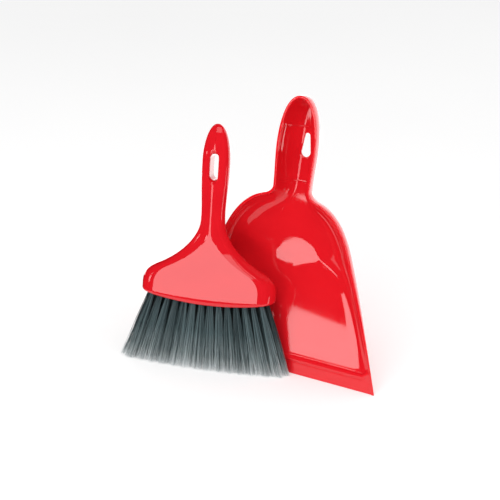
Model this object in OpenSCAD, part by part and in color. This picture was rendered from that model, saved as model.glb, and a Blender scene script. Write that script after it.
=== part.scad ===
// Dustpan and hand brush, standing side by side.
// Row frame: +X along the dustpan's lip, +Z up, -Y towards the open side of the pan.
// The origin is on the floor, under the middle of the pair.

/* [Dustpan] */
// Width across the lip
pan_w = 254; // [220:1:300]
// Length from the lip to the end of the handle
pan_l = 312; // [280:1:350]
// Angle between the tray's floor and the plane of the rim
floor_angle = 12; // [10:0.5:14]
// Wall thickness
pan_wall = 2.2; // [1.8:0.1:2.6]
// Depth of the level floor at the back of the tray below the rim
back_depth = 26; // [24:0.5:29]
// How much deeper the handle's trough is
trough_drop = 1.8; // [0:0.2:5]
// Full width of the handle
grip_w = 47; // [42:1:54]

/* [Brush] */
// Height from the bristle tips to the end of the handle
brush_l = 276; // [250:1:300]
// Width of the head
head_w = 154; // [140:1:170]
// Thickness of the head
head_t = 38; // [34:1:42]
// Wall of the hollow head
head_wall = 3.5; // [3:0.1:4]
// Full width of the handle at its widest
handle_w = 32; // [28:1:36]

/* [Bristles] */
// Tufts in the middle row
middle_tufts = 15; // [11:2:15]
// Distance between neighbouring tufts at the head
tuft_pitch = 9.5; // [8.8:0.1:9.6]
// Radius of a tuft where it leaves the block
tuft_r = 2.3; // [1.8:0.1:2.4]
// Half the width of the fanned bristles at the floor
splay_half_w = 100; // [90:1:104]

/* [Placing] */
// How far the dustpan leans back from upright
pan_lean = 12.9; // [8:0.1:18]
// How far the brush leans back from upright
brush_lean = 14.5; // [8:0.1:18]
// How far the brush is turned about the vertical
brush_yaw = 13; // [0:0.5:16]

/* [Hidden] */
row_names = ["front", "middle", "back"];
outer_tufts = middle_tufts - 1;
row_counts = [outer_tufts, middle_tufts, outer_tufts];
function two_digits(n) = str(n < 10 ? "0" : "", n);
function tuft_name(row, i) = str("tuft_", row_names[row], "_", two_digits(i + 1));

// Places on the floor, with the dustpan's lip along Y = pan_y.
pan_x = 20;
pan_y = -19.6;
brush_x = -50;
brush_y = -47.6;

red = "#e01420";
bristle_grey = "#7d8f93";
steel = "#b9bdc2";

// ---- curves and blends ----

function mix(a, b, t) = a + (b - a) * t;
function ramp(from, to, x) = max(0, min(1, (x - from) / (to - from)));
function smooth(from, to, x) = let (t = ramp(from, to, x)) t * t * (3 - 2 * t);
function unit(p) = p / norm(p);

// Point of a cubic curve with four control points.
function curve_point(c, t) =
    let (s = 1 - t)
    s * s * s * c[0] + 3 * s * s * t * c[1] + 3 * s * t * t * c[2] + t * t * t * c[3];
function distinct(f) = f[0] != f[1] && f[1] != f[2] && f[2] != f[0];

// ---- dustpan ----
// Rim-plane coordinates: u across, v from the lip towards the handle, d depth behind the rim.

lip_half = pan_w / 2;
lip_depth = 0.9;
lip_wall = 1;
grip_half = grip_w / 2;
side_top = [0.61 * lip_half, 0.471 * pan_l];
neck_start = [33, 0.636 * pan_l];
grip_start = [grip_half - 1.6, 0.67 * pan_l];
grip_wide = [grip_half, 0.808 * pan_l];

side_curve = [
    [lip_half, 0],
    [lip_half - 0.29 * pan_l / 6, pan_l / 6],
    side_top - [-0.38, 1] * pan_l / 6,
    side_top
];
shoulder_curve = [side_top, side_top + [-7, 19], neck_start + [25, -8.5], neck_start];
neck_curve = [neck_start, neck_start + [-6, 2.1], grip_start - [0, 6], grip_start];
grip_curve = [grip_start, grip_start + [0, 14], grip_wide - [0, 14], grip_wide];
end_curve = [grip_wide, grip_wide + [0, 33], [0.66 * grip_half, pan_l], [0, pan_l]];

// Foot of the wall on the floor, one curve for each curve of the rim's outline.
foot_side = [36, 0.417 * pan_l];
foot_neck = [18, 0.567 * pan_l];
foot_grip = [5, 0.657 * pan_l];
foot_wide = [3, grip_wide[1]];
side_foot = [[lip_half - 4, 0], [100, 25], foot_side + [54, -30], foot_side];
shoulder_foot = [foot_side, foot_side + [-7.2, 4], foot_neck + [3, -19], foot_neck];
neck_foot = [foot_neck, foot_neck + [-1, 6.3], foot_grip - [-1, 11], foot_grip];
grip_foot = [foot_grip, foot_grip + [-1, 11], foot_wide - [0, 16], foot_wide];
end_foot = [foot_wide, foot_wide + [0, 23], [2.4, pan_l - 16], [0, pan_l - 16]];

// The dust stop is a low rib across the floor, and the trough has a shallow thumb recess.
rib_v = [15.5, 19.5];
rib_height = 1;
recess_v = [213, 274];
recess_depth = 1.2;
edge_width = 1.2;

// Stations along half of the outline: rim curve, foot curve, and place on both.
side_places = [0, 0.05, 0.098, 0.106, 0.132, 0.141, 0.18, 0.25, 0.35, 0.45, 0.6, 0.75, 0.9];
grip_places = [0, 0.2, 0.24, 0.4, 0.6, 0.8];
end_places = [0, 0.15, 0.28, 0.35, 0.385, 0.45, 0.55, 0.65, 0.75, 0.84, 0.92, 1];
pan_stations = concat(
    [for (t = side_places) [side_curve, side_foot, t]],
    [for (k = [0:11]) [shoulder_curve, shoulder_foot, k / 12]],
    [for (k = [0:6]) [neck_curve, neck_foot, k / 7]],
    [for (t = grip_places) [grip_curve, grip_foot, t]],
    [for (t = end_places) [end_curve, end_foot, t]]
);

rim_width = 3;
rim_round = 0.6;

// The floor starts level with the rim plane at the lip and falls evenly behind the dust stop. It
// flattens again up to a soft crease, which bends towards the lip at its ends, and stays level
// before it drops a little into the handle's trough.
lip_angle = 0.5;
lip_zone = 20;
lip_blend = 4;
fall_v = 108;
crease_v = 152;
crease_slope = 0.09;
crease_bend = 0.012;
bend_v = [100, 140];
drop_v = [172, 214];
function lip_share(v) =
    v < lip_zone - lip_blend ? v
    : lip_zone - pow(max(0, lip_zone + lip_blend - v), 2) / (4 * lip_blend);
function fall(v) =
    lip_depth + v * tan(floor_angle) - lip_share(v) * (tan(floor_angle) - tan(lip_angle));
fall_depth = fall(fall_v);
crease_depth = back_depth - 4 * crease_slope;
floor_curves = [
    [[fall_v, fall_depth], [fall_v + 14, fall_depth + 14 * tan(floor_angle)],
        [crease_v - 18, crease_depth - 15 * crease_slope], [crease_v - 3, crease_depth]],
    [[crease_v - 3, crease_depth], [crease_v - 1, crease_depth + 2 * crease_slope],
        [crease_v + 1, back_depth], [crease_v + 3, back_depth]]
];
function place_on(curve, v, low = 0, high = 1, step = 0) =
    let (t = (low + high) / 2)
    step > 18 ? t
    : curve_point(curve, t)[0] < v ? place_on(curve, v, t, high, step + 1)
    : place_on(curve, v, low, t, step + 1);
function plain_depth(v) =
    v < fall_v ? fall(v)
    : v > crease_v + 3 ? back_depth + trough_drop * smooth(drop_v[0], drop_v[1], v)
    : let (curve = floor_curves[v < crease_v - 3 ? 0 : 1]) curve_point(curve, place_on(curve, v))[1];
function between(band, v) =
    smooth(band[0] - edge_width, band[0], v) - smooth(band[1], band[1] + edge_width, v);
function floor_depth(u, v) =
    plain_depth(v + crease_bend * u * u * smooth(bend_v[0], bend_v[1], v)) - rib_height * between(rib_v, v);

// The wall is thinner at the lip. The rim's outer band grows up the sides and again on the handle.
full_wall_v = 24;
band_low = 1.4;
band_high = 8;
band_v = [25, 150];
grip_band = 2;
grip_band_v = [170, 230];
function local_wall(v) = mix(lip_wall, pan_wall, smooth(0, full_wall_v, v));
function band_height(v) =
    mix(band_low, band_high, smooth(band_v[0], band_v[1], v))
    + grip_band * smooth(grip_band_v[0], grip_band_v[1], v);

// One point of the curved wall: inward distance and depth at angle t of a quarter ellipse, moved
// outwards by a wall thickness and by the thumb recess.
function wall_point(width, depth, t, outwards) =
    [rim_width + (width - rim_width) * (1 - cos(t)), rim_round + (depth - rim_round) * sin(t)]
    + outwards * unit([-(depth - rim_round) * cos(t), (width - rim_width) * sin(t)]);

// Half of the section at a station, from the middle of the floor over the rim to the underside.
function pan_half_section(station) =
    let (
        p = curve_point(station[0], station[2]),
        foot = curve_point(station[1], station[2]),
        inward = unit(foot - p),
        width = norm(foot - p),
        depth = floor_depth(foot[0], foot[1]),
        wall = local_wall(p[1]),
        band = band_height(p[1]),
        recess = recess_depth * between(recess_v, foot[1]),
        middle = [for (u = [0, foot[0] / 2]) [u, foot[1], floor_depth(u, foot[1]) + recess]],
        profile = concat(
            [for (t = [90:-15:0]) wall_point(width, depth, t, recess * sin(t))],
            [[rim_width - rim_round, 0], [rim_round, 0], [0, rim_round]],
            [[0, band], [rim_width - wall, band]],
            [for (t = [30:20:90]) wall_point(width, depth, t, wall + recess)]
        ),
        placed = [for (q = profile) let (at = p + q[0] * inward) [at[0], at[1], q[1]]]
    )
    concat(middle, placed, [for (k = [1, 0]) middle[k] + [0, 0, wall]]);

pan_last = len(pan_stations) - 1;
pan_halves = [for (s = pan_stations) pan_half_section(s)];
pan_half_count = len(pan_halves[0]);
pan_ring_count = 2 * pan_half_count - 2;

// The right half of a ring, then its mirror image. The last ring has only one half.
function pan_ring(half) = concat(
    half,
    [for (i = [pan_half_count - 2:-1:1]) [-half[i][0], half[i][1], half[i][2]]]
);
function pan_index(k, i) =
    let (j = i % pan_ring_count)
    k < pan_last ? k * pan_ring_count + j
    : k * pan_ring_count + (j < pan_half_count ? j : pan_ring_count - j);

module pan_shell() {
    points = concat(
        [for (k = [0:pan_last - 1]) each pan_ring(pan_halves[k])],
        [for (p = pan_halves[pan_last]) [0, p[1], p[2]]]
    );
    quads = [
        for (k = [0:pan_last - 1]) for (i = [0:pan_ring_count - 1])
            [pan_index(k, i), pan_index(k, i + 1), pan_index(k + 1, i + 1), pan_index(k + 1, i)]
    ];
    sides = [
        for (q = quads) for (f = [[q[0], q[1], q[2]], [q[0], q[2], q[3]]]) if (distinct(f)) f
    ];
    lip_end = [for (i = [pan_ring_count - 1:-1:0]) i];
    // u, v and d become X, Z and Y.
    polyhedron([for (p = points) [p[0], p[2], p[1]]], concat([lip_end], sides), convexity = 10);
}

// Drop-shaped hanging hole through the trough's floor.
hole_low_v = 246;
hole_high_v = 264.5;
hole_low_r = 5.5;
hole_high_r = 3;
hole_cut = 20;

module hang_drop() {
    translate([0, back_depth + trough_drop + hole_cut / 2, 0])
        rotate([90, 0, 0])
            linear_extrude(hole_cut)
                hull() {
                    translate([0, hole_low_v]) circle(hole_low_r, $fn = 40);
                    translate([0, hole_high_v]) circle(hole_high_r, $fn = 28);
                }
}

module dustpan() {
    lift = (lip_depth + lip_wall) * sin(pan_lean);
    color(red)
        translate([pan_x, pan_y, lift])
            rotate([-pan_lean, 0, 0])
                difference() {
                    pan_shell();
                    hang_drop();
                }
}

// ---- brush ----
// Brush coordinates: X across, -Y towards the front, Z up from the bristle tips.

head_half = head_w / 2;
handle_half = handle_w / 2;
skirt_z = 82;
skirt_line_z = 84.5;
skirt_bow = 8.5;
line_bow = 4;
handle_base = [14, 166];

head_side = [[head_half, skirt_z], [head_half, 84.5], [head_half, 87], [head_half, 90]];
head_corner = [[head_half, 90], [head_half, 104], [head_half - 7, 108.5], [head_half - 19, 114.5]];
head_sweep = [[head_half - 19, 114.5], [head_half - 39, 125], [16, 144], handle_base];
handle_side = [handle_base, handle_base + [-1.3, 16], [handle_half, 200], [handle_half, 232]];
handle_end = [[handle_half, 232], [handle_half, 252], [10.5, brush_l], [0, brush_l]];
brush_stations = concat(
    [for (t = [0, 0.06, 0.15, 0.3, 0.6]) [head_side, t]],
    [for (k = [0:8]) [head_corner, k / 9]],
    [for (k = [0:9]) [head_sweep, k / 10]],
    [for (k = [0:5]) [handle_side, k / 6]],
    [for (t = [0, 0.15, 0.3, 0.45, 0.6, 0.72, 0.82, 0.9, 0.96, 1]) [handle_end, t]]
);

// The body thins from the head to the handle, and its end is rounded from crown_z on.
handle_thick_half = 10.5;
thin_z = 152;
crown_z = 244;
skirt_inset = [1.5, 3.2];
function edge_round(z) = 1 - sqrt(1 - pow(1 - ramp(skirt_z, skirt_line_z, z), 2));
function body_half_thick(z) =
    let (rise = (ramp(skirt_z, thin_z, z) + smooth(skirt_z, thin_z, z)) / 2)
    (mix(head_t / 2, handle_thick_half, rise) - skirt_inset[1] * edge_round(z))
    * sqrt(1 - pow(ramp(crown_z, brush_l, z), 2));

// The front is a flat panel, which narrows to a ridge on the handle, between two sloping bands.
function band_edge(half, z) = half - min(mix(12, 7, smooth(105, 140, z)), 0.45 * half);
function panel_share(z) = mix(0.93, 0.33, smooth(110, 158, z));
band_slope = 0.3;
function panel_bow(z) = mix(0.8, 0.3, smooth(95, 140, z));
function back_power(z) = mix(3, 2.3, smooth(100, 150, z));
function rounded(value, power) = pow(max(value, 0), 2 / power);
function edge_bow(z) =
    z < skirt_line_z ? mix(skirt_bow, line_bow, ramp(skirt_z, skirt_line_z, z))
    : line_bow * (1 - smooth(skirt_line_z, 105, z));

// Half of the body's outline at a station, from the front's middle to the back's middle.
function body_half_section(station) =
    let (
        p = curve_point(station[0], station[1]),
        z = p[1],
        half = p[0] - skirt_inset[0] * edge_round(z),
        thick = body_half_thick(z),
        outer = band_edge(half, z),
        inner = outer * panel_share(z),
        bow = min(panel_bow(z), 0.5 * thick),
        side = thick - bow - min(band_slope * (outer - inner), 0.4 * thick),
        n = back_power(z),
        front = [for (k = [0:3]) [inner * k / 3, -thick + bow * pow(k / 3, 2)]],
        bevel = [for (t = [0:18:90]) [outer + (half - outer) * sin(t), -side * cos(t)]],
        back = [for (t = [15:15:90]) [half * rounded(cos(t), n), thick * rounded(sin(t), n)]]
    )
    [for (q = concat(front, bevel, back))
        [q[0], q[1], z - edge_bow(z) * (1 - pow(q[0] / head_half, 2))]];

body_last = len(brush_stations) - 1;
body_halves = [for (s = brush_stations) body_half_section(s)];
body_half_count = len(body_halves[0]);
body_ring_count = 2 * body_half_count - 2;
function body_ring(half) = concat(
    half,
    [for (i = [body_half_count - 2:-1:1]) [-half[i][0], half[i][1], half[i][2]]]
);

module body_shape() {
    points = concat(
        [for (k = [0:body_last - 1]) each body_ring(body_halves[k])],
        [[0, 0, brush_l], [0, 0, skirt_z]]
    );
    end_point = body_last * body_ring_count;
    last_ring = end_point - body_ring_count;
    sides = [
        for (k = [0:body_last - 2]) for (i = [0:body_ring_count - 1])
            let (
                a = k * body_ring_count + i,
                b = k * body_ring_count + (i + 1) % body_ring_count
            )
            each [[a, a + body_ring_count, b + body_ring_count], [a, b + body_ring_count, b]]
    ];
    tip = [for (i = [0:body_ring_count - 1])
        [last_ring + i, end_point, last_ring + (i + 1) % body_ring_count]];
    bottom = [for (i = [0:body_ring_count - 1]) [(i + 1) % body_ring_count, end_point + 1, i]];
    polyhedron(points, concat(sides, tip, bottom), convexity = 10);
}

// Pocket in the head that takes the tuft block, and the block's outline.
pocket_top = 103;
pocket_bottom = 60;
pocket_half_w = head_half - head_wall - 1.5;
pocket_half_t = head_t / 2 - head_wall;
block_gap = 0.15;
block_low = 84;
function lens_outline(half_w, half_t) =
    [for (t = [0:9:351])
        [sign(cos(t)) * half_w * pow(abs(cos(t)), 2 / 3), sign(sin(t)) * half_t * pow(abs(sin(t)), 2 / 3)]];

slot_low = 219;
slot_high = 238;
slot_r = 5;
slot_cut = 40;

module hang_slot() {
    for (z = [slot_low, slot_high])
        translate([0, 0, z])
            rotate([90, 0, 0])
                cylinder(h = slot_cut, r = slot_r, center = true, $fn = 48);
    translate([-slot_r, -slot_cut / 2, slot_low])
        cube([2 * slot_r, slot_cut, slot_high - slot_low]);
}

module brush_pose() {
    translate([brush_x, brush_y, 0])
        rotate([0, 0, brush_yaw])
            rotate([-brush_lean, 0, 0])
                children();
}

module brush_body() {
    color(red)
        brush_pose()
            difference() {
                body_shape();
                translate([0, 0, pocket_bottom])
                    linear_extrude(pocket_top - pocket_bottom)
                        polygon(lens_outline(pocket_half_w, pocket_half_t));
                hang_slot();
            }
}

// ---- tufts ----

hole_r = 2.45;
hole_depth = 12;
anchor_bite = 0.3;
anchor_size = [2 * (hole_r + anchor_bite), 0.5, 1.8];
root_row = 9.3;
splay_half_t = 14;
splay_end_t = 5.5;
row_bend = 0.22;
row_half_u = 64;
tuft_gap = 0.3;
tip_pitch = 2 * splay_half_w / middle_tufts;

function tuft_step(row, i) = i - (row_counts[row] - 1) / 2;
function tuft_root(row, i) =
    let (u = tuft_step(row, i) * tuft_pitch)
    [u, (row - 1) * root_row * (1 - row_bend * pow(u / row_half_u, 2)), block_low];
function splay_t(u) = splay_end_t + (splay_half_t - splay_end_t) * (1 - pow(u / splay_half_w, 2));

// The floor is the plane Z = Y * tan(brush_lean) in brush coordinates.
function on_floor(x, y) = [x, y, y * tan(brush_lean)];
function tuft_tip(row, i) =
    let (u = tuft_step(row, i) * tip_pitch)
    on_floor(u, (row - 1) * splay_t(u) * 2 / 3);
function tuft_along(row, i) = unit(tuft_root(row, i) - tuft_tip(row, i));

tuft_sides = 10;
tuft_places = [0, 0.33, 0.66, 1];
tuft_inside = 9;

module tuft(row, i) {
    root = tuft_root(row, i);
    tip = tuft_tip(row, i);
    half_u = (tip_pitch - tuft_gap) / 2;
    half_w = splay_t(tip[0]) / 3 - tuft_gap / 2;
    top_ring = [
        for (k = [0:tuft_sides - 1])
            let (turn = 360 * k / tuft_sides)
            root + tuft_r * [cos(turn), sin(turn), 0] + tuft_inside * tuft_along(row, i)
    ];
    fan = [
        for (place = tuft_places) for (k = [0:tuft_sides - 1])
            let (
                turn = 360 * k / tuft_sides,
                from = root + tuft_r * [cos(turn), sin(turn), 0],
                to = on_floor(tip[0] + half_u * cos(turn), tip[1] + half_w * sin(turn))
            )
            mix(from, to, place)
    ];
    rings = concat(top_ring, fan);
    last = len(tuft_places);
    sides = [
        for (k = [0:last - 1]) for (j = [0:tuft_sides - 1])
            let (a = k * tuft_sides + j, b = k * tuft_sides + (j + 1) % tuft_sides)
            each [[a, b, b + tuft_sides], [a, b + tuft_sides, a + tuft_sides]]
    ];
    top = [for (j = [tuft_sides - 1:-1:0]) j];
    bottom = [for (j = [0:tuft_sides - 1]) last * tuft_sides + j];
    color(bristle_grey) brush_pose() polyhedron(rings, concat(sides, [top, bottom]));
}

// Turns the +Z axis onto a tuft's direction, at the mouth of its hole.
module at_tuft(row, i) {
    along = tuft_along(row, i);
    translate(tuft_root(row, i))
        rotate([0, acos(along[2]), atan2(along[1], along[0])])
            children();
}

module tuft_block() {
    color(red)
        brush_pose()
            difference() {
                translate([0, 0, block_low])
                    linear_extrude(pocket_top - block_gap - block_low)
                        polygon(lens_outline(pocket_half_w - block_gap, pocket_half_t - block_gap));
                for (row = [0:2]) for (i = [0:row_counts[row] - 1])
                    at_tuft(row, i)
                        translate([0, 0, -2]) cylinder(h = hole_depth + 2, r = hole_r, $fn = 12);
            }
}

// Flat steel anchors, each driven across the end of a tuft's hole.
module anchors(row) {
    color(steel)
        brush_pose()
            for (i = [0:row_counts[row] - 1])
                let (along = tuft_along(row, i))
                translate(tuft_root(row, i) + along * (hole_depth - anchor_size[2] / 2))
                    rotate([0, asin(along[0]), 0])
                        cube(anchor_size, center = true);
}

dustpan();
brush_body();
tuft_block();
for (row = [0:2]) {
    for (i = [0:row_counts[row] - 1])
        tuft(row, i);
    anchors(row);
}
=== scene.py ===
"""Dustpan and hand brush: the finished pieces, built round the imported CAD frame.

The pieces are in millimetres until a mesh is made; MM turns them into Blender's metres.
The studio is in metres. The row frame has +X along the dustpan's lip, +Z up and -Y towards
the pan's open side.
"""

import math
import random

import bmesh
import bpy
from mathutils import Matrix, Vector


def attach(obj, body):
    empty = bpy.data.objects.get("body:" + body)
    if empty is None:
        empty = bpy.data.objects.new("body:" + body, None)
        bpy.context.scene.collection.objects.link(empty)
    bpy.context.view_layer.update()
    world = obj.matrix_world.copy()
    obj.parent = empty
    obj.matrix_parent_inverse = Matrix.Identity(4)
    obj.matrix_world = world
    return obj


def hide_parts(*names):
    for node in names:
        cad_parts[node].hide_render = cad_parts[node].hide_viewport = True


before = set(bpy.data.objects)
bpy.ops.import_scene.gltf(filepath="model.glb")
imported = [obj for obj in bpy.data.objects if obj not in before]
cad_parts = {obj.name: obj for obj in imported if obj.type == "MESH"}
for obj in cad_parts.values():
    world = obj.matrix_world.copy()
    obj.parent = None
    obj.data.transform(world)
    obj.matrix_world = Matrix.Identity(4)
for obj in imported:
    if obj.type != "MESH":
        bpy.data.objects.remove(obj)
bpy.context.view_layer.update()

MM = 0.001
rng = random.Random(7)

# ---------------------------------------------------------------- sizes
# These are the CAD's own, but for the trough's drop, which is 0.1 mm less here.

PAN_W, PAN_L = 254.0, 312.0
FLOOR_ANGLE, LIP_ANGLE = math.radians(12.0), math.radians(0.5)
PAN_WALL = 2.2
BACK_DEPTH, TROUGH_DROP = 26.0, 1.7
GRIP_W = 47.0
BRUSH_L = 276.0
HEAD_W, HEAD_T, HEAD_WALL = 154.0, 38.0, 3.5
HANDLE_W = 32.0
MIDDLE_TUFTS = 15
TUFT_PITCH, TUFT_R = 9.5, 2.3
SPLAY_HALF_W = 100.0
PAN_LEAN, BRUSH_LEAN, BRUSH_YAW = (math.radians(a) for a in (12.9, 14.5, 13.0))
PAN_AT = (20.0, -19.6)
BRUSH_AT = (-50.0, -47.6)


# ---------------------------------------------------------------- curves and blends


def mix(a, b, t):
    """Value a share t of the way from a to b."""
    return a + (b - a) * t


def ramp(start, end, x):
    """Share of the way from start to end, held at 0 and 1."""
    return max(0.0, min(1.0, (x - start) / (end - start)))


def smooth(start, end, x):
    """The same with an easy start and end."""
    t = ramp(start, end, x)
    return t * t * (3 - 2 * t)


def cubic(c, t):
    """Point on a cubic curve with four control points."""
    s = 1 - t
    w = (s * s * s, 3 * s * s * t, 3 * s * t * t, t * t * t)
    return tuple(sum(w[i] * c[i][k] for i in range(4)) for k in range(2))


HALVINGS = 30


def height_on(c, x):
    """Second coordinate of a rising cubic curve at first coordinate x."""
    low, high = 0.0, 1.0
    for _ in range(HALVINGS):
        t = (low + high) / 2
        if cubic(c, t)[0] < x:
            low = t
        else:
            high = t
    return cubic(c, (low + high) / 2)[1]


def evenly(count, last=False):
    """Places from 0 up to 1, with the 1 itself only if it is the last curve."""
    return [k / count for k in range(count + (1 if last else 0))]


# ---------------------------------------------------------------- meshes


WELD, SLIVER = 0.02 * MM, 0.01 * MM
CUT_BEYOND = 6.0


def new_object(name, points, faces):
    """Object with its own mesh, from points in millimetres."""
    mesh = bpy.data.meshes.new(name)
    mesh.from_pydata([tuple(c * MM for c in p) for p in points], [], faces)
    mesh.validate()
    piece = bpy.data.objects.new(name, mesh)
    bpy.context.scene.collection.objects.link(piece)
    return piece


def mirrored_ring(half):
    """A ring from its right half, which starts and ends on the middle plane."""
    return half + [(-x, y, z) for x, y, z in half[-2:0:-1]]


def loft(rings, closed_tip=None):
    """Points, and the quads between rings of equal length; a tip closes the last ring."""
    points = [p for ring in rings for p in ring]
    n = len(rings[0])
    faces = []
    for k in range(len(rings) - 1):
        for i in range(n):
            j = (i + 1) % n
            faces.append((k * n + i, k * n + j, (k + 1) * n + j, (k + 1) * n + i))
    if closed_tip is not None:
        points.append(closed_tip)
        last = (len(rings) - 1) * n
        for i in range(n):
            faces.append((last + i, last + (i + 1) % n, len(points) - 1))
    return points, faces


def cleaned(piece):
    """Welds double points, drops faces without area and turns all faces outwards."""
    mesh = bmesh.new()
    mesh.from_mesh(piece.data)
    bmesh.ops.remove_doubles(mesh, verts=mesh.verts, dist=WELD)
    bmesh.ops.dissolve_degenerate(mesh, edges=mesh.edges, dist=SLIVER)
    bmesh.ops.recalc_face_normals(mesh, faces=mesh.faces)
    mesh.to_mesh(piece.data)
    mesh.free()


def cut_away(piece, cutter):
    """Boolean difference, applied; the cutter is removed."""
    step = piece.modifiers.new("cut", "BOOLEAN")
    step.operation = "DIFFERENCE"
    step.solver = "EXACT"
    step.object = cutter
    deps = bpy.context.evaluated_depsgraph_get()
    result = bpy.data.meshes.new_from_object(piece.evaluated_get(deps))
    piece.modifiers.clear()
    piece.data = result
    bpy.data.objects.remove(cutter)


def prism(name, rings):
    """Closed solid through rings of equal length."""
    points, faces = loft(rings)
    n = len(rings[0])
    last = (len(rings) - 1) * n
    faces.append(tuple(reversed(range(n))))
    faces.append(tuple(range(last, last + n)))
    cutter = new_object(name, points, faces)
    cleaned(cutter)
    return cutter


def shaded(piece, degrees):
    """Smooth shading that keeps edges sharper than an angle."""
    piece.data.shade_smooth()
    piece.data.set_sharp_from_angle(angle=math.radians(degrees))


def placed(piece, matrix):
    """Moves a piece's mesh, so that its object stays at the origin."""
    piece.data.transform(matrix)
    piece.data.update()


# ---------------------------------------------------------------- dustpan
# Rim-plane points are (u, depth, v): u across, depth behind the rim, v from lip to handle.

LIP_HALF = PAN_W / 2
LIP_DEPTH, LIP_WALL = 0.9, 1.0
GRIP_HALF = GRIP_W / 2
RIM_WIDTH, RIM_ROUND = 3.0, 0.6
RIB_V, RIB_HEIGHT = (15.5, 19.5), 1.0
# Fine furrows along both sides of the rib: where each starts, is deepest and ends, and its depth.
FURROWS = ((13.0, 14.4, 16.0, 0.20), (20.6, 22.0, 25.2, 0.08))
RECESS_V, RECESS_DEPTH = (213.0, 274.0), 1.2
EDGE_WIDTH = 1.2
BEND_V = (100.0, 140.0)
DROP_V = (172.0, 214.0)
FULL_WALL_V = 24.0
BAND_LOW, BAND_HIGH, BAND_V = 1.4, 8.0, (25.0, 150.0)
GRIP_BAND, GRIP_BAND_V = 2.0, (170.0, 230.0)
BAND_EDGE_ROUND = 0.3
FLOOR_STEPS = 10

side_top = (0.61 * LIP_HALF, 0.471 * PAN_L)
neck_start = (33.0, 0.636 * PAN_L)
grip_start = (GRIP_HALF - 1.6, 0.67 * PAN_L)
grip_wide = (GRIP_HALF, 0.808 * PAN_L)


def moved(p, x, y):
    """The point p moved across by x and along by y."""
    return p[0] + x, p[1] + y


third = PAN_L / 6
side_curve = (
    (LIP_HALF, 0.0),
    (LIP_HALF - 0.29 * third, third),
    moved(side_top, 0.38 * third, -third),
    side_top,
)
shoulder_curve = (side_top, moved(side_top, -7, 19), moved(neck_start, 25, -8.5), neck_start)
neck_curve = (neck_start, moved(neck_start, -6, 2.1), moved(grip_start, 0, -6), grip_start)
grip_curve = (grip_start, moved(grip_start, 0, 14), moved(grip_wide, 0, -14), grip_wide)
end_curve = (grip_wide, moved(grip_wide, 0, 33), (0.66 * GRIP_HALF, PAN_L), (0.0, PAN_L))

# Foot of the wall on the floor, one curve for each curve of the rim's outline.
foot_side = (36.0, 0.417 * PAN_L)
foot_neck = (18.0, 0.567 * PAN_L)
foot_grip = (5.0, 0.657 * PAN_L)
foot_wide = (3.0, grip_wide[1])
side_foot = ((LIP_HALF - 4, 0.0), (100.0, 25.0), moved(foot_side, 54, -30), foot_side)
shoulder_foot = (foot_side, moved(foot_side, -7.2, 4), moved(foot_neck, 3, -19), foot_neck)
neck_foot = (foot_neck, moved(foot_neck, -1, 6.3), moved(foot_grip, 1, -11), foot_grip)
grip_foot = (foot_grip, moved(foot_grip, -1, 11), moved(foot_wide, 0, -16), foot_wide)
end_foot = (foot_wide, moved(foot_wide, 0, 23), (2.4, PAN_L - 16), (0.0, PAN_L - 16))

FALL_V, CREASE_V = 108.0, 152.0
LIP_ZONE, LIP_BLEND = 20.0, 4.0
CREASE_SLOPE, CREASE_BEND = 0.09, 0.012
slope = math.tan(FLOOR_ANGLE)
lip_slope = math.tan(LIP_ANGLE)


def fall(v):
    """Depth of the straight part of the floor, which starts at the lip almost along the rim."""
    share = v
    if v > LIP_ZONE - LIP_BLEND:
        share = LIP_ZONE - max(0.0, LIP_ZONE + LIP_BLEND - v) ** 2 / (4 * LIP_BLEND)
    return LIP_DEPTH + v * slope - share * (slope - lip_slope)


fall_depth = fall(FALL_V)
crease_depth = BACK_DEPTH - 4 * CREASE_SLOPE
flatten_curve = (
    (FALL_V, fall_depth),
    (FALL_V + 14, fall_depth + 14 * slope),
    (CREASE_V - 18, crease_depth - 15 * CREASE_SLOPE),
    (CREASE_V - 3, crease_depth),
)
crease_curve = (
    (CREASE_V - 3, crease_depth),
    (CREASE_V - 1, crease_depth + 2 * CREASE_SLOPE),
    (CREASE_V + 1, BACK_DEPTH),
    (CREASE_V + 3, BACK_DEPTH),
)


def between(band, v):
    """1 inside a band and 0 outside, with soft edges."""
    low, high = band
    return smooth(low - EDGE_WIDTH, low, v) - smooth(high, high + EDGE_WIDTH, v)


def floor_depth(u, v):
    """Depth of the pan's floor below the rim plane."""
    bent = v + CREASE_BEND * u * u * smooth(*BEND_V, v)
    if bent < FALL_V:
        depth = fall(bent)
    elif bent < CREASE_V - 3:
        depth = height_on(flatten_curve, bent)
    elif bent < CREASE_V + 3:
        depth = height_on(crease_curve, bent)
    else:
        depth = BACK_DEPTH + TROUGH_DROP * smooth(*DROP_V, bent)
    for start, deepest, end, deep in FURROWS:
        depth += deep * (ramp(start, deepest, v) - smooth(deepest, end, v))
    return depth - RIB_HEIGHT * between(RIB_V, v)


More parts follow.
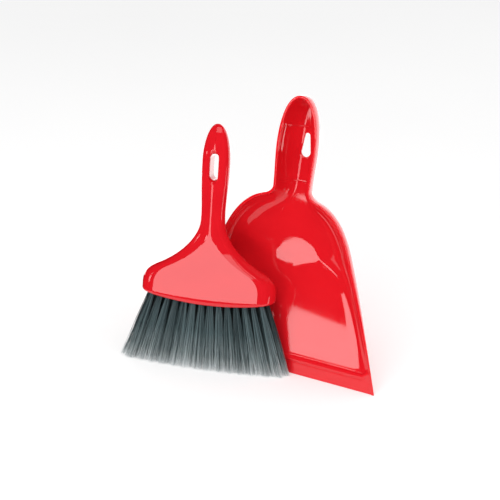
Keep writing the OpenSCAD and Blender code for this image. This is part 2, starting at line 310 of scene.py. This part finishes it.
def pan_half_section(rim_curve, foot_curve, place):
    """Half of the pan's section: floor, wall, rim, rim's outer band and underside."""
    p = cubic(rim_curve, place)
    foot = cubic(foot_curve, place)
    width = math.dist(p, foot)
    inward = ((foot[0] - p[0]) / width, (foot[1] - p[1]) / width)
    foot_v = foot[1]
    depth = floor_depth(*foot)
    wall = mix(LIP_WALL, PAN_WALL, smooth(0, FULL_WALL_V, p[1]))
    band = mix(BAND_LOW, BAND_HIGH, smooth(*BAND_V, p[1])) + GRIP_BAND * smooth(*GRIP_BAND_V, p[1])
    across, down = width - RIM_WIDTH, depth - RIM_ROUND
    recess = RECESS_DEPTH * between(RECESS_V, foot_v)

    def wall_point(degrees, outwards):
        """Point of the wall's quarter ellipse, moved outwards; the recess fades towards the rim."""
        t = math.radians(degrees)
        n = (-down * math.cos(t), across * math.sin(t))
        size = math.hypot(*n)
        x = RIM_WIDTH + across * (1 - math.cos(t))
        fade = min(1.0, 3 * math.sin(t))
        out = outwards + RECESS_DEPTH * between(RECESS_V, p[1] + x * inward[1]) * fade
        return x + out * n[0] / size, RIM_ROUND + down * math.sin(t) + out * n[1] / size

    profile = [wall_point(t, 0.0) for t in range(90, -1, -6)]
    for t in (30, 60, 90):
        a = math.radians(t)
        profile.append((RIM_WIDTH - RIM_ROUND + RIM_ROUND * math.cos(a), RIM_ROUND * (1 - math.sin(a))))
    for t in (0, 30, 60, 90):
        a = math.radians(t)
        profile.append((RIM_ROUND * (1 - math.sin(a)), RIM_ROUND * (1 - math.cos(a))))
    edge = min(BAND_EDGE_ROUND, 0.2 * band)
    profile += [(0, band - edge), (0.3 * edge, band - 0.3 * edge), (edge, band)]
    profile.append((RIM_WIDTH - wall, band))
    profile += [wall_point(t, wall) for t in range(25, 91, 13)]
    across_floor = [foot[0] * k / FLOOR_STEPS for k in range(FLOOR_STEPS)]
    half = [(u, floor_depth(u, foot_v) + recess, foot_v) for u in across_floor]
    for x, y in profile:
        half.append((p[0] + x * inward[0], y, p[1] + x * inward[1]))
    half += [(u, floor_depth(u, foot_v) + recess + wall, foot_v) for u in reversed(across_floor)]
    return half


# Place along the pan and radius of the hanging hole's big and small end.
HOLE_LOW, HOLE_HIGH = (246.0, 5.5), (264.5, 3.0)
HOLE_ROUND = 0.5


def drop_outline(grow, steps=72):
    """Outline of the hanging hole, a big and a small circle joined by their tangents."""
    (v0, r0), (v1, r1) = HOLE_LOW, HOLE_HIGH
    lean = math.asin((r0 - r1) / (v1 - v0))
    points = []
    for k in range(steps):
        a = 2 * math.pi * k / steps
        high = lean <= a <= math.pi - lean
        v, r = (v1, r1) if high else (v0, r0)
        points.append(((r + grow) * math.cos(a), v + (r + grow) * math.sin(a)))
    return points


def flared(rim_in, rim_out, radius):
    """Depths and growths of a cutter that leaves rounded edges at both faces."""
    levels = [(rim_in - CUT_BEYOND, radius + CUT_BEYOND)]
    for t in (90, 60, 30, 0):
        a = math.radians(t)
        levels.append((rim_in + radius * (1 - math.sin(a)), radius * (1 - math.cos(a))))
    for t in (0, 30, 60, 90):
        a = math.radians(t)
        levels.append((rim_out - radius * (1 - math.sin(a)), radius * (1 - math.cos(a))))
    levels.append((rim_out + CUT_BEYOND, radius + CUT_BEYOND))
    return levels


def drop_cutter():
    """Cutter for the hanging hole, from the trough's face to its back."""
    face = BACK_DEPTH + TROUGH_DROP + RECESS_DEPTH
    rings = []
    for depth, grow in flared(face, face + PAN_WALL, HOLE_ROUND):
        rings.append([(x, depth, v) for x, v in drop_outline(grow)])
    return prism("drop_cutter", rings)


def make_dustpan():
    """The dustpan: a loft from the lip to the handle's end, with its hanging hole."""
    stations = []
    for rim_curve, foot_curve, count in (
        (side_curve, side_foot, 150),
        (shoulder_curve, shoulder_foot, 56),
        (neck_curve, neck_foot, 24),
        (grip_curve, grip_foot, 44),
    ):
        stations += [(rim_curve, foot_curve, t) for t in evenly(count)]
    stations += [(end_curve, end_foot, t) for t in evenly(64, last=True)]
    rings = [mirrored_ring(pan_half_section(*station)) for station in stations]
    # The last ring lies in the middle plane, so its two halves meet and close the end.
    rings[-1] = [(0.0, p[1], p[2]) for p in rings[-1]]
    points, faces = loft(rings)
    faces.append(tuple(reversed(range(len(rings[0])))))
    pan = new_object("dustpan_shell", points, faces)
    cleaned(pan)
    cut_away(pan, drop_cutter())
    cleaned(pan)
    lift = (LIP_DEPTH + LIP_WALL) * math.sin(PAN_LEAN)
    place = Matrix.Translation(Vector((PAN_AT[0], PAN_AT[1], lift)) * MM)
    placed(pan, place @ Matrix.Rotation(-PAN_LEAN, 4, "X"))
    return pan


# ---------------------------------------------------------------- brush body
# Brush coordinates: X across, -Y towards the front, Z up from the bristle tips.

HEAD_HALF = HEAD_W / 2
HANDLE_HALF = HANDLE_W / 2
SKIRT_Z, SKIRT_LINE_Z = 82.0, 84.5
SKIRT_BOW, LINE_BOW = 8.5, 4.0
HANDLE_THICK_HALF = 10.5
SKIRT_INSET = (1.5, 3.2)
BAND_SLOPE = 0.3
THIN_Z, CROWN_Z = 152.0, 244.0
BOW_END_Z = 105.0
FRONT_STEPS = 10

# Between the two heights beside it, a pair goes from its first value to its second.
BEVEL_WIDTH, BEVEL_Z = (12.0, 7.0), (105.0, 140.0)
PANEL_SHARE, PANEL_Z = (0.93, 0.33), (110.0, 158.0)
PANEL_BOW, PANEL_BOW_Z = (0.8, 0.3), (95.0, 140.0)
BACK_POWER, BACK_Z = (3.0, 2.3), (100.0, 150.0)
# In the handle the front panel widens again, and then narrows almost to a point.
PANEL_WIDER, PANEL_WIDER_Z = 0.17, (212.0, 238.0)
PANEL_POINT, PANEL_POINT_Z = 0.98, (246.0, 259.0)

handle_base = (14.0, 166.0)
head_side = ((HEAD_HALF, SKIRT_Z), (HEAD_HALF, 84.5), (HEAD_HALF, 87.0), (HEAD_HALF, 90.0))
head_corner = ((HEAD_HALF, 90.0), (HEAD_HALF, 104.0), (HEAD_HALF - 7, 108.5), (HEAD_HALF - 19, 114.5))
head_sweep = ((HEAD_HALF - 19, 114.5), (HEAD_HALF - 39, 125.0), (16.0, 144.0), handle_base)
handle_side = (handle_base, moved(handle_base, -1.3, 16), (HANDLE_HALF, 200.0), (HANDLE_HALF, 232.0))
handle_end = ((HANDLE_HALF, 232.0), (HANDLE_HALF, 252.0), (10.5, BRUSH_L), (0.0, BRUSH_L))


def edge_round(z):
    """Share of the skirt's rounding left at height z."""
    return 1 - math.sqrt(max(0.0, 1 - (1 - ramp(SKIRT_Z, SKIRT_LINE_Z, z)) ** 2))


def body_half_thick(z):
    """Half thickness, which thins towards the handle and rounds off at its end."""
    rise = (ramp(SKIRT_Z, THIN_Z, z) + smooth(SKIRT_Z, THIN_Z, z)) / 2
    half = mix(HEAD_T / 2, HANDLE_THICK_HALF, rise) - SKIRT_INSET[1] * edge_round(z)
    return half * math.sqrt(max(0.0, 1 - ramp(CROWN_Z, BRUSH_L, z) ** 2))


def edge_bow(z):
    """How far the middle of a section hangs below its ends."""
    if z < SKIRT_LINE_Z:
        return mix(SKIRT_BOW, LINE_BOW, ramp(SKIRT_Z, SKIRT_LINE_Z, z))
    return LINE_BOW * (1 - smooth(SKIRT_LINE_Z, BOW_END_Z, z))


def panel_share(z):
    """Width of the flat front as a share of the front; it ends in a point near the handle's tip."""
    share = mix(*PANEL_SHARE, smooth(*PANEL_Z, z)) + PANEL_WIDER * smooth(*PANEL_WIDER_Z, z)
    return share * (1 - PANEL_POINT * ramp(*PANEL_POINT_Z, z))


def rounded(value, power):
    """Cosine or sine of a superellipse of the given power."""
    return max(value, 0.0) ** (2 / power)


def body_half_section(curve, place):
    """Half of the body's outline, from the front's middle to the back's middle."""
    x, z = cubic(curve, place)
    half = x - SKIRT_INSET[0] * edge_round(z)
    thick = body_half_thick(z)
    outer = half - min(mix(*BEVEL_WIDTH, smooth(*BEVEL_Z, z)), 0.45 * half)
    inner = outer * panel_share(z)
    bow = min(mix(*PANEL_BOW, smooth(*PANEL_BOW_Z, z)), 0.5 * thick)
    side = thick - bow - min(BAND_SLOPE * (outer - inner), 0.4 * thick)
    power = mix(*BACK_POWER, smooth(*BACK_Z, z))
    front = [k / FRONT_STEPS for k in range(FRONT_STEPS)]
    outline = [(inner * t, -thick + bow * t**2) for t in front]
    edge_in = (inner, -thick + bow)
    edge_out = (outer, -side)
    # Points close to both ends of the sloping band keep its edges crisp.
    for t in (0, 0.04, 0.5, 0.96):
        outline.append((mix(edge_in[0], edge_out[0], t), mix(edge_in[1], edge_out[1], t)))
    for t in range(0, 91, 6):
        a = math.radians(t)
        outline.append((outer + (half - outer) * math.sin(a), -side * math.cos(a)))
    for t in range(6, 91, 6):
        a = math.radians(t)
        outline.append((half * rounded(math.cos(a), power), thick * rounded(math.sin(a), power)))
    return [(px, py, z - edge_bow(z) * (1 - (px / HEAD_HALF) ** 2)) for px, py in outline]


POCKET_TOP, POCKET_BOTTOM = 103.0, 60.0
POCKET_HALF_W = HEAD_HALF - HEAD_WALL - 1.5
POCKET_HALF_T = HEAD_T / 2 - HEAD_WALL
BLOCK_LOW = 84.0
LENS_POWER = 3.0
SLOT_LOW, SLOT_HIGH, SLOT_R, SLOT_HALF_W = 219.0, 238.0, 5.0, 4.8
SLOT_DEPTH_Z, SLOT_ROUND = 230.0, 1.0
# The hollow at the slot's ends: depth behind the front, and how much wider and longer it is there.
HOLLOW = (
    (-CUT_BEYOND, 0.9, 5.4),
    (0.0, 0.9, 5.0),
    (0.8, 0.4, 3.4),
    (2.2, 0.1, 1.6),
    (4.2, 0.0, 0.3),
    (5.2, 0.0, 0.0),
)


def lens_outline(half_w, half_t, steps=80):
    """Outline of the pocket for the tuft block, a superellipse."""
    points = []
    for k in range(steps):
        a = 2 * math.pi * k / steps
        c, s = math.cos(a), math.sin(a)
        x = math.copysign(half_w * rounded(abs(c), LENS_POWER), c)
        points.append((x, math.copysign(half_t * rounded(abs(s), LENS_POWER), s)))
    return points


def slot_outline(wider, longer, steps=64):
    """Round-ended slot outline, grown sideways and at its ends."""
    points = []
    for k in range(steps):
        a = 2 * math.pi * (k + 0.5) / steps
        z = SLOT_HIGH if a < math.pi else SLOT_LOW
        points.append(((SLOT_HALF_W + wider) * math.cos(a), z + (SLOT_R + longer) * math.sin(a)))
    return points


def slot_cutter(depth):
    """Slot with a shallow hollow beyond each end at the front and rounded edges at the back."""
    levels = [(behind - depth, wider, longer) for behind, wider, longer in HOLLOW]
    for t in (0, 30, 60, 90):
        a = math.radians(t)
        grow = SLOT_ROUND * (1 - math.cos(a))
        levels.append((depth - SLOT_ROUND + SLOT_ROUND * math.sin(a), grow, grow))
    levels.append((depth + CUT_BEYOND, SLOT_ROUND + CUT_BEYOND, SLOT_ROUND + CUT_BEYOND))
    rings = []
    for y, wider, longer in levels:
        rings.append([(x, y, z) for x, z in slot_outline(wider, longer)])
    return prism("slot_cutter", rings)


def brush_place():
    """Where the brush stands: moved, turned about the vertical and leaned back."""
    base = Matrix.Translation(Vector((BRUSH_AT[0], BRUSH_AT[1], 0)) * MM)
    return base @ Matrix.Rotation(BRUSH_YAW, 4, "Z") @ Matrix.Rotation(-BRUSH_LEAN, 4, "X")


def make_brush_body():
    """The brush body: a loft from the skirt to the handle's tip, with its pocket and slot."""
    stations = [(head_side, t * t) for t in evenly(24)]
    for curve, count in ((head_corner, 40), (head_sweep, 60), (handle_side, 40)):
        stations += [(curve, t) for t in evenly(count)]
    stations += [(handle_end, 1 - (1 - t) ** 1.5) for t in evenly(44)]
    rings = [mirrored_ring(body_half_section(c, t)) for c, t in stations]
    points, faces = loft(rings, closed_tip=(0.0, 0.0, BRUSH_L))
    faces.append(tuple(reversed(range(len(rings[0])))))
    body = new_object("brush_handle_and_head", points, faces)
    cleaned(body)
    lens = lens_outline(POCKET_HALF_W, POCKET_HALF_T)
    rings = [[(x, y, z) for x, y in lens] for z in (POCKET_BOTTOM, POCKET_TOP)]
    cut_away(body, prism("pocket_cutter", rings))
    cut_away(body, slot_cutter(body_half_thick(SLOT_DEPTH_Z)))
    cleaned(body)
    placed(body, brush_place())
    return body


# ---------------------------------------------------------------- bristles

ROW_NAMES = ("front", "middle", "back")
ROW_COUNTS = (MIDDLE_TUFTS - 1, MIDDLE_TUFTS, MIDDLE_TUFTS - 1)
ROOT_ROW = 9.3
SPLAY_HALF_T, SPLAY_END_T = 14.0, 5.5
# The outer rows draw in by this share of their distance from the middle row at this half width.
ROW_BEND, ROW_HALF_U = 0.22, 64.0
TIP_PITCH = 2 * SPLAY_HALF_W / MIDDLE_TUFTS
# Length of each filament inside the block.
INSIDE = 8.8
FILAMENTS, FILAMENT_R = 76, 0.24
GOLDEN_ANGLE = 2.39996
SIDES = 4
# Filaments cling together in clumps of like tone; this share of each one's tone is its own.
CLUMPS, OWN_TONE = 7, 0.35
# Unevenness: turn in the spacing, shortness, spread, end point, sway and small waves.
TURN_NOISE, SHORT, SPREAD_NOISE = 0.25, (0.35, 0.45), 0.07
END_NOISE, SWAY, BOW, WAVE, WAVINESS = (0.5, 0.4), 1.0, 0.9, (0.1, 0.35), 9
# Painted shade at the roots: the share of light left, by row and within the core of a tuft. It darkens
# the middle row and each tuft's core, and fades out towards the tips.
ROW_PAINTED_SHADE = (1.0, 0.35, 1.0)
CORE, CORE_PAINTED_SHADE = 0.6, 0.55
TAPER_FROM, TIP_SIZE = 0.85, 0.55
RINGS = (0.0, 0.14, 0.3, 0.46, 0.62, 0.78, 0.92, 1.0)


def splay_t(u):
    """Half thickness of the fan at the floor."""
    return SPLAY_END_T + (SPLAY_HALF_T - SPLAY_END_T) * (1 - (u / SPLAY_HALF_W) ** 2)


def on_floor(x, y, up=0.0):
    """Point at a height above the floor, in brush coordinates."""
    return Vector((x, y, y * math.tan(BRUSH_LEAN) + up / math.cos(BRUSH_LEAN)))


def make_tuft(row, i):
    """One tuft: many thin filaments from a hole in the block to the floor."""
    step = i - (ROW_COUNTS[row] - 1) / 2
    u0 = step * TUFT_PITCH
    root = Vector((u0, (row - 1) * ROOT_ROW * (1 - ROW_BEND * (u0 / ROW_HALF_U) ** 2), BLOCK_LOW))
    u1 = step * TIP_PITCH
    t1 = (row - 1) * splay_t(u1) * 2 / 3
    half_u, half_w = 0.52 * TIP_PITCH, splay_t(u1) / 3
    along = (root - on_floor(u1, t1)).normalized()
    points, faces, shades = [], [], []
    clumps = [rng.random() for _ in range(CLUMPS)]
    for k in range(FILAMENTS):
        # Sunflower spacing fills the hole evenly; a little noise breaks the pattern.
        r = math.sqrt((k + 0.5) / FILAMENTS)
        a = k * GOLDEN_ANGLE + rng.uniform(-TURN_NOISE, TURN_NOISE)
        x, y = r * math.cos(a), r * math.sin(a)
        start = root + Vector((x, y, 0)) * (TUFT_R - FILAMENT_R - 0.05)
        short = max(0.0, rng.gauss(*SHORT))
        spread = 1 + rng.gauss(0, SPREAD_NOISE)
        end = on_floor(
            u1 + half_u * x * spread + rng.gauss(0, END_NOISE[0]),
            t1 + half_w * y * spread + rng.gauss(0, END_NOISE[1]),
            short,
        )
        sway = Vector((rng.gauss(0, SWAY), rng.gauss(0, SWAY), 0))
        phase = rng.uniform(0, 2 * math.pi)
        wave = rng.uniform(*WAVE)
        tone = rng.random()
        tone = mix(clumps[int(CLUMPS * (x + 1) / 2)], tone, OWN_TONE)
        # Painted shade: the middle row and each tuft's core are darker near the roots, as if the tufts
        # shaded each other.
        painted_shade = ROW_PAINTED_SHADE[row] * (CORE_PAINTED_SHADE if r < CORE else 1.0)
        turn = rng.uniform(0, 2 * math.pi)
        path = [start + along * INSIDE]
        for place in RINGS:
            p = start.lerp(end, place)
            p += sway * (BOW * math.sin(math.pi * place))
            p.x += wave * math.sin(phase + WAVINESS * place) * place
            path.append(p)
        base = len(points)
        count = len(path)
        for j, p in enumerate(path):
            t = j / (count - 1)
            size = FILAMENT_R * mix(1.0, TIP_SIZE, ramp(TAPER_FROM, 1.0, t))
            grown = max(0.0, (j - 1) / (count - 2))
            # Blue holds the painted shade, which fades out towards the tip.
            shade = (tone, grown, mix(painted_shade, 1.0, grown**1.5), 1.0)
            for s in range(SIDES):
                b = turn + 2 * math.pi * s / SIDES
                q = p + Vector((size * math.cos(b), size * math.sin(b), 0))
                floor_z = q.y * math.tan(BRUSH_LEAN)
                points.append((q.x, q.y, max(q.z, floor_z)))
                shades.append(shade)
        for j in range(count - 1):
            for s in range(SIDES):
                n = (s + 1) % SIDES
                low, high = base + j * SIDES, base + (j + 1) * SIDES
                faces.append((low + n, low + s, high + s, high + n))
        faces.append(tuple(base + s for s in range(SIDES)))
        last = base + (count - 1) * SIDES
        faces.append(tuple(last + s for s in reversed(range(SIDES))))
    name = f"bristles_{ROW_NAMES[row]}_{i + 1:02d}"
    tuft = new_object(name, points, faces)
    layer = tuft.data.color_attributes.new("shade", "FLOAT_COLOR", "POINT")
    for index, shade in enumerate(shades):
        layer.data[index].color = shade
    placed(tuft, brush_place())
    return tuft


# ---------------------------------------------------------------- materials


class Nodes:
    """Short calls for building one material's node tree."""

    def __init__(self, name):
        self.material = bpy.data.materials.new(name)
        self.material.use_nodes = True
        self.tree = self.material.node_tree
        self.shader = self.tree.nodes["Principled BSDF"]

    def add(self, kind, **settings):
        """A new node with some of its settings."""
        node = self.tree.nodes.new(kind)
        for key, value in settings.items():
            setattr(node, key, value)
        return node

    def link(self, source, target):
        self.tree.links.new(source, target)

    def set(self, **values):
        """Constants on the shader's own sockets."""
        for key, value in values.items():
            self.shader.inputs[key.replace("_", " ")].default_value = value

    def noise(self, scale, detail=3.0, rough=0.5, stretch=None):
        """Noise fixed to the object, coarser along an axis with a smaller stretch."""
        where = self.add("ShaderNodeTexCoord").outputs["Object"]
        if stretch:
            mapping = self.add("ShaderNodeMapping")
            mapping.inputs["Scale"].default_value = stretch
            self.link(where, mapping.inputs["Vector"])
            where = mapping.outputs["Vector"]
        node = self.add("ShaderNodeTexNoise")
        node.inputs["Scale"].default_value = scale
        node.inputs["Detail"].default_value = detail
        node.inputs["Roughness"].default_value = rough
        self.link(where, node.inputs["Vector"])
        return node.outputs["Fac"]

    def ranged(self, source, low, high):
        """Noise stretched over the range from low to high."""
        node = self.add("ShaderNodeMapRange")
        for key, value in (("From Min", 0.3), ("From Max", 0.7), ("To Min", low), ("To Max", high)):
            node.inputs[key].default_value = value
        self.link(source, node.inputs["Value"])
        return node.outputs["Result"]

    def ramp(self, source, *stops):
        """Colour ramp from pairs of a place and a colour."""
        node = self.add("ShaderNodeValToRGB")
        elements = node.color_ramp.elements
        while len(elements) < len(stops):
            elements.new(0.5)
        for element, (place, colour) in zip(elements, stops):
            element.position = place
            element.color = (*colour, 1)
        self.link(source, node.inputs["Fac"])
        return node.outputs["Color"]

    def bump(self, height, strength, distance):
        """Bump on the shader's normal; the distance is in metres."""
        node = self.add("ShaderNodeBump")
        node.inputs["Strength"].default_value = strength
        node.inputs["Distance"].default_value = distance
        self.link(height, node.inputs["Height"])
        self.link(node.outputs["Normal"], self.shader.inputs["Normal"])


def glossy_plastic(name, deep, bright, gloss=(0.02, 0.05)):
    """Injection-moulded polypropylene: a clear gloss over faint flow marks and fine scratches."""
    m = Nodes(name)
    flow = m.noise(9, 3, 0.5, stretch=(1, 1, 2.5))
    m.link(m.ramp(flow, (0.3, deep), (0.7, bright)), m.shader.inputs["Base Color"])
    fine = m.noise(260, 4, 0.6, stretch=(1, 1, 0.2))
    m.link(m.ranged(fine, gloss[0], gloss[1]), m.shader.inputs["Roughness"])
    m.bump(m.noise(26, 2, 0.4), 0.02, 0.0004)
    m.set(IOR=1.5, Specular_IOR_Level=0.5)
    return m.material


def bristle_plastic():
    """Grey-blue filaments with pale flagged tips, and painted shade towards the roots and in the depth
    of the tuft.

    The shade attribute holds a filament's tone in red, the place along it in green, and in
    blue the share of light that the painted shade leaves.
    """
    m = Nodes("bristle_filament")
    shade = m.add("ShaderNodeAttribute", attribute_type="GEOMETRY", attribute_name="shade")
    parts = m.add("ShaderNodeSeparateColor")
    m.link(shade.outputs["Color"], parts.inputs["Color"])
    # Both ramps are darker towards the roots, which is painted shade under the head, and pale towards
    # the flagged tips, which is their own colour.
    dark = m.ramp(
        parts.outputs["Green"],
        (0.0, (0.010, 0.022, 0.026)),
        (0.45, (0.015, 0.032, 0.037)),
        (0.75, (0.040, 0.068, 0.073)),
        (1.0, (0.420, 0.470, 0.480)),
    )
    light = m.ramp(
        parts.outputs["Green"],
        (0.0, (0.130, 0.190, 0.205)),
        (0.45, (0.200, 0.285, 0.300)),
        (0.72, (0.440, 0.520, 0.530)),
        (1.0, (0.950, 0.960, 0.965)),
    )
    tone = m.add("ShaderNodeMix", data_type="RGBA", blend_type="MIX")
    m.link(parts.outputs["Red"], tone.inputs["Factor"])
    m.link(dark, tone.inputs[6])
    m.link(light, tone.inputs[7])
    # Multiplies in the painted shade at the roots, held in blue.
    with_painted_shade = m.add("ShaderNodeMix", data_type="RGBA", blend_type="MULTIPLY")
    with_painted_shade.inputs["Factor"].default_value = 1.0
    m.link(tone.outputs[2], with_painted_shade.inputs[6])
    m.link(parts.outputs["Blue"], with_painted_shade.inputs[7])
    m.link(with_painted_shade.outputs[2], m.shader.inputs["Base Color"])
    m.link(m.ranged(m.noise(90), 0.3, 0.48), m.shader.inputs["Roughness"])
    m.set(Specular_IOR_Level=0.3)
    return m.material


def anchor_metal():
    """Drawn flat steel, streaked along its length."""
    m = Nodes("anchor_steel")
    drawn = m.noise(400, 3, 0.6, stretch=(0.2, 1, 1))
    colour = m.ramp(drawn, (0.3, (0.42, 0.43, 0.45)), (0.7, (0.62, 0.63, 0.65)))
    m.link(colour, m.shader.inputs["Base Color"])
    m.link(m.ranged(drawn, 0.25, 0.42), m.shader.inputs["Roughness"])
    m.set(Metallic=1.0)
    return m.material


def paint(obj, material):
    """One material on every slot of an object."""
    if not obj.material_slots:
        obj.data.materials.append(material)
    for s in obj.material_slots:
        s.material = material


# ---------------------------------------------------------------- pieces

pan_plastic = glossy_plastic("pan_red", (0.73, 0.009, 0.016), (0.79, 0.0115, 0.019))
brush_plastic = glossy_plastic("brush_red", (0.66, 0.008, 0.015), (0.71, 0.0105, 0.018))
block_plastic = glossy_plastic("block_red", (0.46, 0.005, 0.010), (0.55, 0.007, 0.013), (0.35, 0.5))
filament = bristle_plastic()
steel = anchor_metal()

pan = make_dustpan()
shaded(pan, 32)
paint(pan, pan_plastic)
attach(pan, "pan")
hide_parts("dustpan")

body = make_brush_body()
shaded(body, 14)
paint(body, brush_plastic)
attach(body, "brush")
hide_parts("brush_body")

for row, row_name in enumerate(ROW_NAMES):
    for i in range(ROW_COUNTS[row]):
        tuft = make_tuft(row, i)
        paint(tuft, filament)
        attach(tuft, "brush")
        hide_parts(f"tuft_{row_name}_{i + 1:02d}")
    paint(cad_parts[f"anchors_{row_name}"], steel)
paint(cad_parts["tuft_block"], block_plastic)

# ---------------------------------------------------------------- studio


def direction(azimuth, elevation):
    """Unit vector towards an azimuth (0 is -Y, 90 is +X) and elevation, in degrees."""
    a, e = math.radians(azimuth), math.radians(elevation)
    return Vector((math.sin(a) * math.cos(e), -math.cos(a) * math.cos(e), math.sin(e)))


# The point that the camera and the lights look at.
AIM = Vector((-0.0045, -0.0226, 0.1454))


def softbox(name, azimuth, elevation, distance, width, height, radiance, turn=0.0):
    """A rectangular soft light turned to the object, and by an angle about that direction."""
    data = bpy.data.lights.new(name, "AREA")
    data.shape = "RECTANGLE"
    data.size, data.size_y = width, height
    data.energy = radiance * width * height * math.pi
    lamp = bpy.data.objects.new(name, data)
    where = AIM + direction(azimuth, elevation) * distance
    lamp.location = where
    facing = (where - AIM).to_track_quat("Z", "Y").to_matrix()
    lamp.rotation_euler = (facing @ Matrix.Rotation(math.radians(turn), 3, "Z")).to_euler()
    bpy.context.scene.collection.objects.link(lamp)
    return lamp


def sheet(name, outlines, material):
    """Flat stage piece from outlines of corner points in metres."""
    points, faces = [], []
    for outline in outlines:
        faces.append(tuple(range(len(points), len(points) + len(outline))))
        points += outline
    mesh = bpy.data.meshes.new(name)
    mesh.from_pydata(points, [], faces)
    piece = bpy.data.objects.new(name, mesh)
    bpy.context.scene.collection.objects.link(piece)
    mesh.materials.append(material)
    return piece


def pale(name, glow):
    """Matt white surface with a little light of its own."""
    m = Nodes(name)
    tint = m.ramp(m.noise(1.5, 2, 0.4), (0.3, (0.90, 0.90, 0.90)), (0.7, (0.93, 0.93, 0.93)))
    m.link(tint, m.shader.inputs["Base Color"])
    m.set(Roughness=0.9, Specular_IOR_Level=0.0, Emission_Color=(1, 1, 1, 1), Emission_Strength=glow)
    return m.material


def reflector(name, outlines, glow):
    """White card that shows only in the gloss of the pieces and sheds no light of its own."""
    card = sheet(name, outlines, pale(name, glow))
    card.visible_camera = False
    card.visible_diffuse = False
    card.visible_shadow = False
    card.visible_transmission = False


CARD_Z, FLOOR_HALF = 0.0004, 6.0


def flat_quad(x0, y0, x1, y1, z=CARD_Z):
    """Corners of a level rectangle, by default just above the floor."""
    return [(x0, y0, z), (x1, y0, z), (x1, y1, z), (x0, y1, z)]


floor_outline = flat_quad(-FLOOR_HALF, -FLOOR_HALF, FLOOR_HALF, FLOOR_HALF, 0)
floor = sheet("studio_floor", [floor_outline], pale("studio_floor", 0.18))
floor.visible_glossy = False

reflector("card_front", [flat_quad(-0.25, -0.28, 0.16, 0.05)], 0.35)
reflector("card_behind", [flat_quad(-0.8, 0.12, 1.2, 1.6), flat_quad(0.16, -0.1, 1.2, 0.12)], 1.9)
reflector("card_back", [[(-1.2, 1.6, 0), (1.8, 1.6, 0), (1.8, 1.6, 1.6), (-1.2, 1.6, 1.6)]], 1.6)

KEY_AZIMUTH, KEY_ELEVATION, KEY_DISTANCE, KEY_RADIANCE = -22.5, 10.5, 1.5, 4.3

# The window that the pan's gloss mirrors, in metres from its middle: its sides, the step
# in its top edge left of the middle, and how far two opposite corners are cut.
KEY_LEFT, KEY_RIGHT, KEY_LOW, KEY_HIGH = -0.2, 0.27, -0.1, 0.1
KEY_STEP, KEY_CUT = 0.03, 0.06
KEY_WINDOW = (
    (KEY_LEFT, KEY_LOW + KEY_CUT),
    (KEY_LEFT + KEY_CUT, KEY_LOW),
    (KEY_RIGHT, KEY_LOW),
    (KEY_RIGHT, KEY_HIGH - KEY_CUT),
    (KEY_RIGHT - KEY_CUT, KEY_HIGH),
    (0.0, KEY_HIGH),
    (0.0, KEY_HIGH - KEY_STEP),
    (KEY_LEFT, KEY_HIGH - KEY_STEP),
)
KEY_TOWARDS = direction(KEY_AZIMUTH, KEY_ELEVATION)
KEY_ACROSS = direction(KEY_AZIMUTH + 90, 0)
KEY_UP = KEY_TOWARDS.cross(KEY_ACROSS)
reflector(
    "card_key",
    [[AIM + KEY_TOWARDS * KEY_DISTANCE + KEY_ACROSS * x + KEY_UP * y for x, y in KEY_WINDOW]],
    KEY_RADIANCE,
)

world = bpy.data.worlds.new("studio")
bpy.context.scene.world = world
world.use_nodes = True
sky = world.node_tree.nodes["Background"]
sky.inputs["Color"].default_value = (1, 1, 1, 1)
sky.inputs["Strength"].default_value = 0.72
world.cycles_visibility.glossy = False

key = softbox("key_pan", KEY_AZIMUTH, KEY_ELEVATION, KEY_DISTANCE, 0.45, 0.205, KEY_RADIANCE, turn=8)
key.visible_glossy = False
softbox("key_brush", -3.8, 11.3, 1.5, 0.42, 0.62, 4.3)
side = softbox("side_right", 95, 30, 1.6, 0.4, 1.0, 3.0)
side.visible_glossy = False
softbox("rim_right", 122, 10, 1.6, 0.35, 0.5, 2.2)
softbox("overhead", 12, 62, 1.8, 1.1, 0.9, 2.3)

CAMERA_BACK, CAMERA_DISTANCE = direction(27.66, 27), 1.6
camera_data = bpy.data.cameras.new("camera")
camera_data.lens = 105.4
camera_data.sensor_width = 36
camera = bpy.data.objects.new("camera", camera_data)
camera.location = AIM + CAMERA_BACK * CAMERA_DISTANCE
camera.rotation_euler = CAMERA_BACK.to_track_quat("Z", "Y").to_euler()
bpy.context.scene.collection.objects.link(camera)
bpy.context.scene.camera = camera

bpy.context.scene.view_settings.view_transform = "Standard"
bpy.context.scene.view_settings.look = "None"
